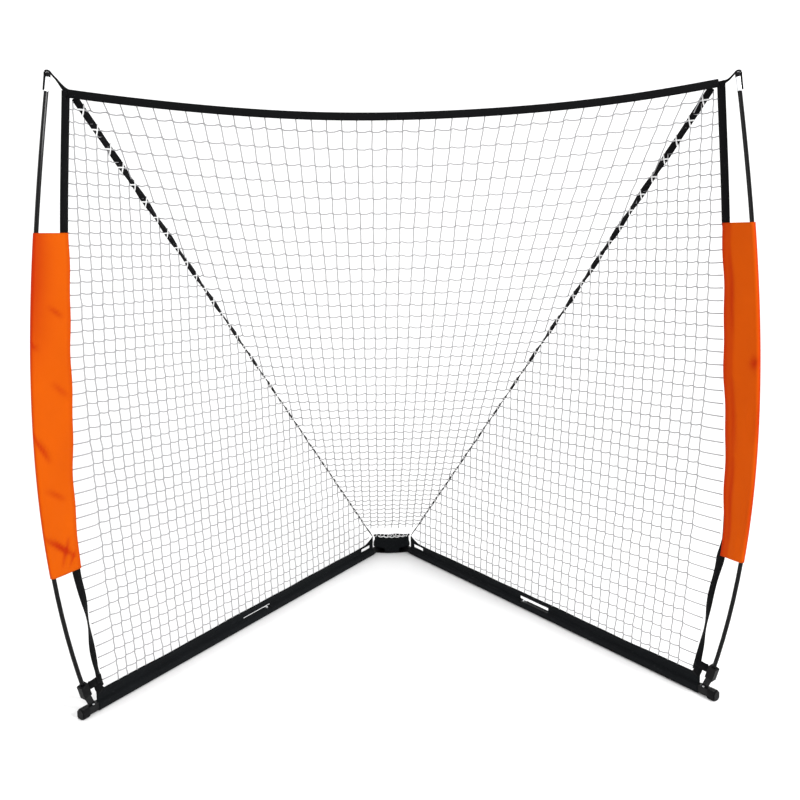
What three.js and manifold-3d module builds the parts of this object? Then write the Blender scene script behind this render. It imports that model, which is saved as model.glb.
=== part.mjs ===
// A portable practice net for chipping golf balls into. Two ground legs open in a V from a hub at the back.
// A bowed rod stands at the front end of each leg and pulls the net's top corner outwards, and three net
// panels, two upright and one sloping, make a pocket that narrows to the hub.
// Millimetres, +Z up, the mouth faces -Y. Each leg, with all that stands on it, is one flat assembly: it is
// drawn in the leg's own upright plane, where X runs out along the leg from the hub pin and Z is height.
import * as THREE from "three";
import { mergeVertices } from "three/addons/utils/BufferGeometryUtils.js";
import Module from "manifold-3d";

// ---- Driving dimensions ---------------------------------------------------------------------------------

const GAP = 0.4; // left between pieces that touch
const PIN_HALF = 50; // each hub pin from the centre line
const SPREAD = THREE.MathUtils.degToRad(35.785); // each leg out from straight ahead

// Leg tubes: square steel, in two lengths that plug together.
const TUBE = 20;
const TUBE_WALL = 1.5;
const TUBE_Z = 14.6; // height of the tube's centre line
const LEG_TAIL = -25; // the tube runs on behind the hub pin
const LEG_JOINT = 690; // where the two lengths meet
const LEG_END = 1488;
const SPIGOT = { size: 16.4, wall: 1.6, from: 627, to: 767 };
const BUTTON_AT = 722; // the snap button's place along the leg
const BUTTON_R = 3.5;

// End caps: square with broad chamfers, and they stand on the ground.
const CAP = { size: 2 * TUBE_Z, from: 1474, to: 1498, chamfer: 6 };

// The bracket of the rod's socket, on top of the tube, and its two screws.
const BRACKET_THICK = 3;
const SCREW = { x: 1457, y: 6 };

// Hub: two plates with the legs between them.
const PLATE = 4;
const HUB_TOP_Z = 2 * TUBE_Z - PLATE; // underside of the upper plate
const PIN_R = 4;
const NUT_Z = HUB_TOP_Z + PLATE + GAP; // where the nuts sit

// Bowed rods. The bow leaves the foot steeply and straightens towards the head.
const ROD_R = 6;
const ROD = { foot: [1478, 72], head: [1510, 1800], rise: 97, lean: 0.25 };
const ROD_JOINT = 0.52; // how far up the rod its two lengths meet
const FERRULE_LENGTH = 38;

// Webbing and cloth.
const WEB = 25;
const WEB_THICK = 2.4;
// The side band's route: its distance along the leg at each height.
const BAND_HEIGHTS = [70, 216, 345, 445, 640, 1000, 1397, 1790];
const BAND_PLACES = [1429, 1451, 1471, 1490, 1499, 1492, 1481, 1457];
const RIB = { foot: [62, 86], head: [1423, 1760], sag: 3, width: 16 };
const SKIRT = { from: 66, to: 1438, flangeTo: 1422, top: 58 };
const LONG_SLOT = { from: 705, to: 845, top: 44 }; // a finger reaches the snap button through it
const SHORT_SLOT = { from: 78, to: 142, bottom: 38, top: 51 };
const SLEEVE = { bottom: 443, top: 1396, half: 9, wall: 1.4 };
const TOP_BAND = { half: 884, z: 1777, back: 80, drop: 62 };
const NET_THICK = 3;
const HUB_WEB = { half: 77, y: -44, z: 77, height: 10 };

// ---- Finishes -------------------------------------------------------------------------------------------

function finish(color, roughness, metalness = 0) {
  return () => new THREE.MeshStandardMaterial({ color, roughness, metalness });
}

const coatedSteel = finish(0x17181a, 0.5, 0.3);
const zincSteel = finish(0xa9acb0, 0.35, 1);
const aluminium = finish(0xc9cccf, 0.3, 1);
const blackPlastic = finish(0x141517, 0.45);
const glassRod = finish(0x0d0d0e, 0.2);
const webbing = finish(0x111112, 0.85);
const skirtCloth = finish(0x1b1e21, 0.8);
const orangeCloth = finish(0xf96c00, 0.55);
const twine = finish(0xd9d9da, 0.8);

// ---- Solids ---------------------------------------------------------------------------------------------

const wasm = await Module();
wasm.setup();

function toSolid(geometry) {
  const bare = geometry.clone();
  bare.deleteAttribute("normal");
  bare.deleteAttribute("uv");
  const merged = mergeVertices(bare, 1e-3);
  return new wasm.Manifold(
    new wasm.Mesh({
      numProp: 3,
      vertProperties: new Float32Array(merged.attributes.position.array),
      triVerts: new Uint32Array(merged.index.array),
    }),
  );
}

function toGeometry(solid) {
  const mesh = solid.getMesh();
  const geometry = new THREE.BufferGeometry();
  geometry.setAttribute("position", new THREE.BufferAttribute(mesh.vertProperties, 3));
  geometry.setIndex(new THREE.BufferAttribute(mesh.triVerts, 1));
  geometry.computeVertexNormals();
  return geometry;
}

function cut(body, ...tools) {
  return toGeometry(tools.reduce((left, tool) => left.subtract(toSolid(tool)), toSolid(body)));
}

function join(body, ...others) {
  return toGeometry(others.reduce((sum, other) => sum.add(toSolid(other)), toSolid(body)));
}

function part(name, geometry, material) {
  const mesh = new THREE.Mesh(geometry, material());
  mesh.name = name;
  return mesh;
}

// ---- Shape helpers --------------------------------------------------------------------------------------

function shapeOf(points) {
  return new THREE.Shape(points.map(([x, y]) => new THREE.Vector2(x, y)));
}

// An outline drawn in X and Z, given a thickness along Y and centred on it.
function upright(points, thickness) {
  const geometry = new THREE.ExtrudeGeometry(shapeOf(points), { depth: thickness, bevelEnabled: false });
  return geometry.rotateX(Math.PI / 2).translate(0, thickness / 2, 0);
}

// An outline drawn in X and Y, standing from one height to another.
function flat(points, bottom, top) {
  const geometry = new THREE.ExtrudeGeometry(shapeOf(points), { depth: top - bottom, bevelEnabled: false });
  return geometry.translate(0, 0, bottom);
}

function box(min, max) {
  const size = max.map((v, i) => v - min[i]);
  const middle = max.map((v, i) => (v + min[i]) / 2);
  return new THREE.BoxGeometry(...size).translate(...middle);
}

// A round bar along Z.
function bar(radius, bottom, top, x = 0, y = 0, sides = 20) {
  const geometry = new THREE.CylinderGeometry(radius, radius, top - bottom, sides);
  return geometry.rotateX(Math.PI / 2).translate(x, y, (top + bottom) / 2);
}

// A turned piece along Z from [radius, height] pairs that start and end on the axis.
function turned(profile, sides = 20) {
  const geometry = new THREE.LatheGeometry(
    profile.map(([r, z]) => new THREE.Vector2(r, z)),
    sides,
  );
  return geometry.rotateX(Math.PI / 2);
}

// A square section with small rounded corners, as a shape in its own X and Y.
function squareSection(size, radius, Kind = THREE.Shape) {
  const h = size / 2;
  const outline = new Kind();
  outline.moveTo(-h + radius, -h);
  outline.lineTo(h - radius, -h);
  outline.quadraticCurveTo(h, -h, h, -h + radius);
  outline.lineTo(h, h - radius);
  outline.quadraticCurveTo(h, h, h - radius, h);
  outline.lineTo(-h + radius, h);
  outline.quadraticCurveTo(-h, h, -h, h - radius);
  outline.lineTo(-h, -h + radius);
  outline.quadraticCurveTo(-h, -h, -h + radius, -h);
  return outline;
}

// A section drawn in X and Y, carried along the leg: its X becomes the leg's Y and its Y becomes height.
function alongLeg(section, from, to) {
  const options = { depth: to - from, bevelEnabled: false, curveSegments: 2 };
  const geometry = new THREE.ExtrudeGeometry(section, options);
  return geometry.rotateX(Math.PI / 2).rotateZ(Math.PI / 2).translate(from, 0, 0);
}

// A point on a bowed line from foot to head, as [distance along the leg, height].
function bowedPoint({ foot, head, rise, lean }, u) {
  const swell = 4 * u * (1 - u) * (1 + lean * (1 - 2 * u));
  const x = THREE.MathUtils.lerp(foot[0], head[0], u) + rise * swell;
  return [x, THREE.MathUtils.lerp(foot[1], head[1], u)];
}

// The rod's distance along the leg at a height, and the side band's.
function rodX(z) {
  return bowedPoint(ROD, (z - ROD.foot[1]) / (ROD.head[1] - ROD.foot[1]))[0];
}

const bandRoute = new THREE.CubicInterpolant(BAND_HEIGHTS, BAND_PLACES, 1, [0]);

function bandX(z) {
  return bandRoute.evaluate(z)[0];
}

// A stretch of a bowed line as a curve in the leg's plane.
class BowedLine extends THREE.Curve {
  constructor(line, from, to) {
    super();
    Object.assign(this, { line, from, to });
  }

  getPoint(t, target = new THREE.Vector3()) {
    const [x, z] = bowedPoint(this.line, THREE.MathUtils.lerp(this.from, this.to, t));
    return target.set(x, 0, z);
  }
}

// Points every so often between two values, both ends included.
function steps(from, to, count) {
  return Array.from({ length: count + 1 }, (_, i) => THREE.MathUtils.lerp(from, to, i / count));
}

// Moves a piece that was made upright at the origin onto the rod, standing along it.
function ontoRod(geometry, u) {
  const line = new BowedLine(ROD, 0, 1);
  const tangent = line.getTangent(u);
  const turn = new THREE.Quaternion().setFromUnitVectors(new THREE.Vector3(0, 0, 1), tangent);
  return geometry.applyQuaternion(turn).translate(...line.getPoint(u));
}

// A spot beside the rod's head: so far out across it, and so far along it.
function besideHead(out, along) {
  const line = new BowedLine(ROD, 0, 1);
  const head = line.getPoint(1);
  const tangent = line.getTangent(1);
  return [head.x + out * tangent.z + along * tangent.x, head.z - out * tangent.x + along * tangent.z];
}

// ---- The leg --------------------------------------------------------------------------------------------

function hollowSquare(size, wall, from, to) {
  const section = squareSection(size, 2);
  section.holes.push(squareSection(size - 2 * wall, 1, THREE.Path));
  return alongLeg(section, from, to).translate(0, 0, TUBE_Z);
}

function innerTube() {
  const tube = hollowSquare(TUBE, TUBE_WALL, LEG_TAIL, LEG_JOINT - GAP);
  return cut(tube, bar(PIN_R + 0.5, 0, 2 * TUBE_Z));
}

function outerTube() {
  const tube = hollowSquare(TUBE, TUBE_WALL, LEG_JOINT, LEG_END);
  const screwHoles = [-1, 1].map((side) => bar(2.4, TUBE_Z, 2 * TUBE_Z, SCREW.x, side * SCREW.y, 12));
  return cut(tube, bar(BUTTON_R + 0.4, TUBE_Z, 2 * TUBE_Z, BUTTON_AT), ...screwHoles);
}

function spigot() {
  const tube = hollowSquare(SPIGOT.size, SPIGOT.wall, SPIGOT.from, SPIGOT.to);
  return cut(tube, bar(BUTTON_R + 0.4, TUBE_Z, 2 * TUBE_Z, BUTTON_AT));
}

// The button's flange sits under the spigot's top wall, and its domed head stands proud of the tube.
const FLANGE_TOP = TUBE_Z + SPIGOT.size / 2 - SPIGOT.wall - GAP;
const FLANGE_BOTTOM = FLANGE_TOP - 1.6;

function snapButton() {
  const proud = TUBE_Z + TUBE / 2 + 3;
  const profile = [
    [0, FLANGE_BOTTOM],
    [BUTTON_R + 2, FLANGE_BOTTOM],
    [BUTTON_R + 2, FLANGE_TOP],
    [BUTTON_R, FLANGE_TOP],
    [BUTTON_R, proud],
    [BUTTON_R * 0.7, proud + 1.6],
    [0, proud + 2.2],
  ];
  return turned(profile, 24).translate(BUTTON_AT, 0, 0);
}

// A strip of spring steel bent to a U, lying in the spigot with its free arm under the button.
function buttonSpring() {
  const floor = TUBE_Z - SPIGOT.size / 2 + SPIGOT.wall + GAP;
  const roof = FLANGE_BOTTOM - GAP;
  const outline = [
    [BUTTON_AT + 8, roof],
    [BUTTON_AT - 30, floor + 9],
    [BUTTON_AT - 40, floor + 5.5],
    [BUTTON_AT - 40, floor],
    [BUTTON_AT + 8, floor],
    [BUTTON_AT + 8, floor + 0.8],
    [BUTTON_AT - 39.2, floor + 0.8],
    [BUTTON_AT - 39.2, floor + 5],
    [BUTTON_AT - 29.6, floor + 8.2],
    [BUTTON_AT + 8, roof - 0.8],
  ];
  return upright(outline, 9);
}

function endCap() {
  const h = CAP.size / 2;
  const c = CAP.chamfer;
  const octagon = shapeOf([
    [-h + c, -h],
    [h - c, -h],
    [h, -h + c],
    [h, h - c],
    [h - c, h],
    [-h + c, h],
    [-h, h - c],
    [-h, -h + c],
  ]);
  const nose = 4;
  const body = alongLeg(octagon, CAP.from, CAP.to - nose).translate(0, 0, TUBE_Z);
  const pocket = TUBE / 2 + GAP;
  const hollow = box([CAP.from - 1, -pocket, TUBE_Z - pocket], [LEG_END + GAP, pocket, TUBE_Z + pocket]);
  const faces = alongLeg(octagon, 0, nose + 1).scale(1, 0.86, 0.86).translate(CAP.to - nose - 1, 0, TUBE_Z);
  return cut(join(body, faces), hollow);
}

// ---- The rod and what holds it --------------------------------------------------------------------------

// The socket's block is drawn along the rod's foot, with a blind bore for the rod.
function rodSocket() {
  const block = box([-12, -11, -9], [12, 11, 28]);
  const bore = bar(ROD_R + 0.5, -GAP, 40);
  return ontoRod(cut(block, bore), 0);
}

function socketBracket() {
  const top = TUBE_Z + TUBE / 2 + GAP;
  const base = box([1441, -9.8, top], [1472.5, 9.8, top + BRACKET_THICK]);
  const web = upright([[1448, top + 2], [1467, top + 2], [1483, 59.5], [1464.5, 65]], 4);
  const cradle = ontoRod(box([-12, -11, -12.4], [12, 11, -9.4]), 0);
  const holes = [-1, 1].map((side) => bar(2.4, 20, 50, SCREW.x, side * SCREW.y, 12));
  return cut(join(base, web, cradle), ...holes);
}

function bracketScrew(y) {
  const seat = TUBE_Z + TUBE / 2 + GAP + BRACKET_THICK + GAP;
  const profile = [
    [0, seat - 10],
    [2, seat - 9],
    [2, seat],
    [3.6, seat],
    [3.6, seat + 1.4],
    [2.2, seat + 2.4],
    [0, seat + 2.4],
  ];
  return turned(profile, 12).translate(SCREW.x, y, 0);
}

function rodLength(from, to, count) {
  const section = new THREE.Shape().absarc(0, 0, ROD_R, 0, 2 * Math.PI);
  const extrudePath = new BowedLine(ROD, from, to);
  const options = { steps: count, curveSegments: 6, bevelEnabled: false, extrudePath };
  return new THREE.ExtrudeGeometry(section, options);
}

// A round sleeve over the rod, open at both ends.
function rodSleeve(outer, length) {
  const r = ROD_R + GAP;
  const profile = [[r, 0], [outer, 0], [outer, length], [r, length], [r, 0]];
  return turned(profile, 16);
}

function rodJoint() {
  const length = 76;
  return ontoRod(rodSleeve(7.2, length).translate(0, 0, -length / 2), ROD_JOINT);
}

function tipFerrule() {
  return ontoRod(rodSleeve(7, FERRULE_LENGTH).translate(0, 0, -FERRULE_LENGTH), 1);
}

function tipCap() {
  const profile = [[0, GAP], [7.4, GAP], [7.4, 9], [5.5, 13], [0, 14.5]];
  return ontoRod(turned(profile, 16), 1);
}

// ---- Webbing and cloth ----------------------------------------------------------------------------------

// The outline of a strip of even width along a route of [x, z] points.
function stripOutline(route, width) {
  const edge = (side) =>
    route.map(([x, z], i) => {
      const [ax, az] = route[Math.max(i - 1, 0)];
      const [bx, bz] = route[Math.min(i + 1, route.length - 1)];
      const length = Math.hypot(bx - ax, bz - az);
      const out = (side * width) / 2 / length;
      return [x + out * (bz - az), z - out * (bx - ax)];
    });
  return [...edge(1), ...edge(-1).reverse()];
}

function sideBand() {
  const route = steps(BAND_HEIGHTS[0] + 2, BAND_HEIGHTS.at(-1), 20).map((z) => [bandX(z), z]);
  return upright(stripOutline(route, WEB), WEB_THICK);
}

function ribPoint(u) {
  const x = THREE.MathUtils.lerp(RIB.foot[0], RIB.head[0], u);
  const z = THREE.MathUtils.lerp(RIB.foot[1], RIB.head[1], u);
  return [x, z - RIB.sag * 4 * u * (1 - u)];
}

function rib() {
  const route = steps(0, 1, 16).map(ribPoint);
  return upright(stripOutline(route, RIB.width), WEB_THICK);
}

function sideNet() {
  const inset = WEB / 2 + 4;
  const low = SKIRT.top + 2;
  const front = steps(low, 1745, 16).map((z) => [bandX(z) - inset, z]);
  const slope = steps(0.985, 0, 14).map((u) => {
    const [x, z] = ribPoint(u);
    return [x + 4, z - RIB.width];
  });
  const above = slope.filter(([, z]) => z > low);
  return upright([...front, ...above, [88, low]], NET_THICK);
}

// The cloth wraps the tube and its two layers are sewn together above it. A long slot through the sewn part
// gives the fingers a way to the snap button, and a short one lies near the hub.
function skirt() {
  const hug = TUBE / 2 + 0.8;
  const out = hug + 1.2;
  const low = TUBE_Z - out;
  const high = TUBE_Z + out;
  const half = WEB_THICK / 2;
  const section = shapeOf([
    [-out, low],
    [out, low],
    [out, high],
    [half, high + 5],
    [half, SKIRT.top],
    [-half, SKIRT.top],
    [-half, high + 5],
    [-out, high],
  ]);
  const inner = [[-hug, TUBE_Z - hug], [hug, TUBE_Z - hug], [hug, TUBE_Z + hug], [-hug, TUBE_Z + hug]];
  section.holes.push(new THREE.Path(inner.map(([x, y]) => new THREE.Vector2(x, y))));
  const wrap = alongLeg(section, SKIRT.from, SKIRT.to);
  const corner = box([SKIRT.flangeTo, -out, high + 1], [SKIRT.to + 1, out, SKIRT.top + 1]);
  const buttonGap = box([BUTTON_AT - 11, -9, TUBE_Z], [BUTTON_AT + 11, 9, LONG_SLOT.top - 4]);
  const longSlot = box([LONG_SLOT.from, -out - 1, high - 0.6], [LONG_SLOT.to, out + 1, LONG_SLOT.top]);
  const shortSlot = box([SHORT_SLOT.from, -out, SHORT_SLOT.bottom], [SHORT_SLOT.to, out, SHORT_SLOT.top]);
  return cut(wrap, corner, buttonGap, longSlot, shortSlot);
}

// A flat envelope, open at top and bottom, that holds the rod in its outer fold and the band in its inner.
function sleeve() {
  const outline = (grow, bottom, top) => {
    const levels = steps(bottom, top, 14);
    const outer = levels.map((z) => [rodX(z) + ROD_R + 1.6 + grow, z]);
    const inner = levels.map((z) => [bandX(z) - WEB / 2 - 0.8 - grow, z]).reverse();
    return [...outer, ...inner];
  };
  const { bottom, top, half, wall } = SLEEVE;
  const shell = upright(outline(wall, bottom, top), 2 * half);
  const inside = upright(outline(0, bottom - 20, top + 20), 2 * (half - wall));
  return cut(shell, inside);
}

// From the net's corner up to the rod's head, over its tip and down the outside.
function cornerStrap() {
  const outline = [
    [1472, 1786],
    besideHead(-8.2, 15.2),
    besideHead(8.2, 15.2),
    besideHead(8.2, -34),
    besideHead(10.4, -34),
    besideHead(10.4, 17.4),
    besideHead(-9.4, 17.4),
    [1471, 1792],
  ];
  return upright(outline, 12);
}

// From the side band's foot to the back of the rod's socket.
function lowerStrap() {
  return upright([[1447, 72], [1460, 72], [1470, 97], [1449, 97]], WEB_THICK);
}

// ---- The hub --------------------------------------------------------------------------------------------

const HUB_OUTLINE = [[-72, -26], [-40, -34], [40, -34], [72, -26], [72, 14], [44, 36], [-44, 36], [-72, 14]];
const RIVET_X = 18;
const RIVET_Y = 5.4;

function hubPlate(bottom, boreR) {
  const bores = [-1, 1].map((side) => bar(boreR, bottom - 1, bottom + PLATE + 1, side * PIN_HALF));
  const rivets = [-1, 1].map((side) => bar(3.4, bottom - 1, bottom + PLATE + 1, side * RIVET_X, RIVET_Y));
  return cut(flat(HUB_OUTLINE, bottom, bottom + PLATE), ...bores, ...rivets);
}

// The lower plate's bores are countersunk, so that the pins' heads lie flush with the ground face.
function lowerPlate() {
  const sink = [[0, -1], [PIN_R + 4.4, -1], [PIN_R + 4.4, 0.6], [PIN_R + 0.4, 3.4], [0, 3.4]];
  const sinks = [-1, 1].map((side) => turned(sink).translate(side * PIN_HALF, 0, 0));
  return cut(hubPlate(0, PIN_R + 0.4), ...sinks);
}

function hubPin() {
  const head = [[0, 0.3], [PIN_R + 3.4, 0.3], [PIN_R + 3.4, 0.6], [PIN_R, 3.2]];
  return turned([...head, [PIN_R, NUT_Z + 4.6], [0, NUT_Z + 5.6]], 24);
}

function hubNut() {
  const hex = new THREE.CylinderGeometry(7.5, 7.5, 4, 6).rotateX(Math.PI / 2).translate(0, 0, 2);
  const dome = turned([[0, 1], [6, 1], [6, 4.4], [4.8, 7], [0, 8.2]], 12);
  return cut(join(hex, dome), bar(PIN_R + GAP, -1, 6)).translate(0, 0, NUT_Z);
}

// The block between the leg tails: they meet its slanting sides when the legs are fully open.
function stopBlock() {
  const outline = [[-37.5, -1], [37.5, -1], [28.3, 11.8], [-28.3, 11.8]];
  const block = flat(outline, PLATE + GAP, HUB_TOP_Z - GAP);
  return cut(block, ...[-1, 1].map((side) => bar(3.4, 0, 40, side * RIVET_X, RIVET_Y)));
}

function hubRivet() {
  const head = [[3, NUT_Z], [5.4, NUT_Z], [4, NUT_Z + 2.4], [0, NUT_Z + 3]];
  return turned([[0, 0.4], [3, 0.4], ...head], 16);
}

// A cloth cap over the hub, open below. Its front wall stands up to the webbing at the foot of the back net,
// and its back wall hangs nearly to the ground.
function hubCover() {
  const outer = [[-80, -34], [-74, -41], [74, -41], [80, -34], [80, 26], [58, 44], [-58, 44], [-80, 26]];
  const inner = outer.map(([x, y]) => [x - 2 * Math.sign(x), y - 2 * Math.sign(y)]);
  const low = HUB_TOP_Z + PLATE + 1.5;
  const cap = flat(outer, low, 41.5);
  const frontWall = box([-74, -41, low], [74, -39, 81]);
  const backWall = box([-58, 42, 6], [58, 44, low + 1]);
  return cut(join(cap, frontWall, backWall), flat(inner, low - 1, 39.5));
}

function hubWebbing() {
  const { half, y, z, height } = HUB_WEB;
  return box([-half, y - WEB_THICK / 2, z - height / 2], [half, y + WEB_THICK / 2, z + height / 2]);
}

function hubRing() {
  const ring = new THREE.TorusGeometry(8, 1.3, 8, 24).rotateX(Math.PI / 2);
  return ring.translate(0, HUB_WEB.y - 4.5, HUB_WEB.z + 6);
}

// ---- What hangs between the legs ------------------------------------------------------------------------

const OUT_X = Math.sin(SPREAD);
const OUT_Y = -Math.cos(SPREAD);

// How far the cloth between the ribs hangs back and down, from full at the top band to nothing at the hub.
function hang(across, share) {
  const depth = (1 - across * across) * share;
  return { y: TOP_BAND.back * depth, z: -TOP_BAND.drop * depth };
}

// A fine box whose X, Y and Z are read as across (-1 to 1), along (0 to 1) and through (-0.5 to 0.5), and
// moved to where a rule puts them.
function draped(across, along, rule) {
  const geometry = new THREE.BoxGeometry(2, 1, 1, across, along, 1);
  const place = geometry.attributes.position;
  for (let i = 0; i < place.count; i++) {
    place.setXYZ(i, ...rule(place.getX(i), place.getY(i) + 0.5, place.getZ(i)));
  }
  return geometry;
}

function topBand() {
  const cornerY = OUT_Y * BAND_PLACES.at(-1);
  return draped(24, 1, (across, along, through) => {
    const dip = hang(across, 1);
    const z = TOP_BAND.z + dip.z + WEB * (along - 0.5);
    return [across * TOP_BAND.half, cornerY + dip.y - through * WEB_THICK, z];
  });
}

function backNet() {
  const clearOfRib = 14;
  return draped(16, 14, (across, along, through) => {
    const [out, z] = ribPoint(THREE.MathUtils.lerp(0.002, 0.985, along));
    const dip = hang(across, along * along);
    const x = across * (PIN_HALF + OUT_X * out - clearOfRib);
    const y = OUT_Y * out + dip.y - through * NET_THICK;
    return [x, y, z + dip.z];
  });
}

// ---- The assembly ---------------------------------------------------------------------------------------

function legAssembly(side) {
  const leg = new THREE.Group();
  const add = (name, geometry, material) => leg.add(part(`${side}_${name}`, geometry, material));
  add("leg_inner_tube", innerTube(), coatedSteel);
  add("leg_outer_tube", outerTube(), coatedSteel);
  add("leg_spigot", spigot(), zincSteel);
  add("snap_button", snapButton(), zincSteel);
  add("button_spring", buttonSpring(), zincSteel);
  add("end_cap", endCap(), blackPlastic);
  add("rod_socket", rodSocket(), blackPlastic);
  add("socket_bracket", socketBracket(), coatedSteel);
  add("bracket_screw_a", bracketScrew(-SCREW.y), zincSteel);
  add("bracket_screw_b", bracketScrew(SCREW.y), zincSteel);
  add("rod_lower", rodLength(0, ROD_JOINT - 0.0002, 14), glassRod);
  add("rod_upper", rodLength(ROD_JOINT + 0.0002, 1, 12), glassRod);
  add("rod_joint", rodJoint(), zincSteel);
  add("tip_ferrule", tipFerrule(), aluminium);
  add("tip_cap", tipCap(), blackPlastic);
  add("side_band", sideBand(), webbing);
  add("rib", rib(), webbing);
  add("side_net", sideNet(), twine);
  add("skirt", skirt(), skirtCloth);
  add("sleeve", sleeve(), orangeCloth);
  add("corner_strap", cornerStrap(), webbing);
  add("lower_strap", lowerStrap(), webbing);
  return leg;
}

function chippingNet() {
  const net = new THREE.Group();
  for (const [side, sign] of [["left", -1], ["right", 1]]) {
    const leg = legAssembly(side);
    leg.position.x = sign * PIN_HALF;
    leg.rotation.z = -Math.PI / 2 + sign * SPREAD;
    const pin = part(`${side}_hub_pin`, hubPin(), zincSteel);
    const nut = part(`${side}_hub_nut`, hubNut(), zincSteel);
    const rivet = part(`${side}_hub_rivet`, hubRivet(), zincSteel);
    pin.position.x = sign * PIN_HALF;
    nut.position.x = sign * PIN_HALF;
    rivet.position.set(sign * RIVET_X, RIVET_Y, 0);
    net.add(leg, pin, nut, rivet);
  }
  net.add(part("hub_bottom_plate", lowerPlate(), coatedSteel));
  net.add(part("hub_top_plate", hubPlate(HUB_TOP_Z, PIN_R + 0.4), coatedSteel));
  net.add(part("hub_stop_block", stopBlock(), coatedSteel));
  net.add(part("hub_cover", hubCover(), skirtCloth));
  net.add(part("hub_webbing", hubWebbing(), webbing));
  net.add(part("hub_ring", hubRing(), zincSteel));
  net.add(part("top_band", topBand(), webbing));
  net.add(part("back_net", backNet(), twine));
  return net;
}

// The origin lies on the ground, midway from front to back.
const net = chippingNet();
net.updateMatrixWorld(true);
const bounds = new THREE.Box3().setFromObject(net, true);
net.position.y = -(bounds.min.y + bounds.max.y) / 2;

export default net;
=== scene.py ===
# %% [markdown]
# # A chipping net, made round its imported frame
#
# The object is a practice net for chipping golf balls. Two legs lie on the ground and open in a V from a hub
# at the back. A bowed rod stands at the end of each leg and pulls the net's top corner outwards. Two upright
# net panels and one sloping one make a pocket that narrows to the hub.
#
# The hard parts come from the frame and keep their shape. This lesson gives them real finishes and makes all
# that is soft: the knotted nets, the webbing that edges them, the orange sleeves, and the covers on the legs
# and the hub. It starts by loading the frame.

# %% The frame
import math
import random

import bmesh
import bpy
import numpy as np
from mathutils import Matrix, Vector


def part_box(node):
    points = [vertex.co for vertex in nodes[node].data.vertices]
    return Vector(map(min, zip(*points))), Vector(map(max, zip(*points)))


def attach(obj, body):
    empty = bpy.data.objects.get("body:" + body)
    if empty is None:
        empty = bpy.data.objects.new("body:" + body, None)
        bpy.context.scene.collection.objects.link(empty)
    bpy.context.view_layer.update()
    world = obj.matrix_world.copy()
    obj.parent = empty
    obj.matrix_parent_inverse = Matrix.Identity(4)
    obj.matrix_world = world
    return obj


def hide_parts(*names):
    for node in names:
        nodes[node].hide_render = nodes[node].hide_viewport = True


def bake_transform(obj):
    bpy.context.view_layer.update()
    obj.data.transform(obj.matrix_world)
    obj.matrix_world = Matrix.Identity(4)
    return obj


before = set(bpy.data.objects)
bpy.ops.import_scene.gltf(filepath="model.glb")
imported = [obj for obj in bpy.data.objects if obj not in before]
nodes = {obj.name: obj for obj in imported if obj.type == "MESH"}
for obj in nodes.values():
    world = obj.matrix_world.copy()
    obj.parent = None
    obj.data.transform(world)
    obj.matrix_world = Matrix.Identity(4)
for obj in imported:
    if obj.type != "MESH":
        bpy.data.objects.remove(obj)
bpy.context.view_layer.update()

# %% [markdown]
# ## The camera
#
# The camera stands in front of the mouth, a little left of the middle and at chest height, and looks slightly
# down. It is made first, because it decides how fine each part has to be: from there a twine of the net is
# only a thin line.

# %% The camera
MM = 0.001
pin_low, pin_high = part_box("left_hub_pin")
PIN_Y = (pin_low.y + pin_high.y) / 2
CAMERA_PLACE = Vector((-0.0842, PIN_Y - 3.4492, 1.3675))
TURN, TILT, ROLL = math.radians(2.154), math.radians(5.0), math.radians(-0.453)

ahead = Vector((math.sin(TURN) * math.cos(TILT), math.cos(TURN) * math.cos(TILT), -math.sin(TILT)))
level = Vector((math.cos(TURN), -math.sin(TURN), 0))
upward = level.cross(ahead)
across_view = math.cos(ROLL) * level + math.sin(ROLL) * upward
up_view = math.cos(ROLL) * upward - math.sin(ROLL) * level

camera = bpy.data.objects.new("camera", bpy.data.cameras.new("camera"))
bpy.context.scene.collection.objects.link(camera)
facing = Matrix((across_view, up_view, -ahead)).transposed().to_4x4()
camera.matrix_world = Matrix.Translation(CAMERA_PLACE) @ facing
camera.data.sensor_width = 36
camera.data.lens = 36.33
camera.data.shift_y = -0.1141
bpy.context.scene.camera = camera
print("camera at", tuple(round(v, 3) for v in camera.location))

# %% [markdown]
# ## Shader maths as plain sums
#
# Cloth, rope and coated steel all need a few sums: a weave is two waves multiplied, a twist is a slanting
# wave. A small class wraps a socket, so that such a sum can be written as it would be on paper, and each sum
# adds its Math node. Colours and vectors keep to Mix and Vector Math nodes.


# %% A wrapped socket
class Value:
    """One output socket. Sums on it add Math nodes."""

    def __init__(self, finish, socket):
        self.finish, self.socket = finish, socket

    def maths(self, operation, *values):
        return self.finish.node("ShaderNodeMath", {"operation": operation}, dict(enumerate(values)))

    def __add__(self, other):
        return self.maths("ADD", self, other)

    def __radd__(self, other):
        return self.maths("ADD", other, self)

    def __sub__(self, other):
        return self.maths("SUBTRACT", self, other)

    def __rsub__(self, other):
        return self.maths("SUBTRACT", other, self)

    def __mul__(self, other):
        return self.maths("MULTIPLY", self, other)

    def __rmul__(self, other):
        return self.maths("MULTIPLY", other, self)

    def wave(self, pitch):
        """From 0 to 1 and back once in every pitch."""
        return 0.5 + 0.5 * (self * (2 * math.pi / pitch)).through("SINE")

    def through(self, operation):
        return self.maths(operation, self)


print("values can be added, subtracted and multiplied")


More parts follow.
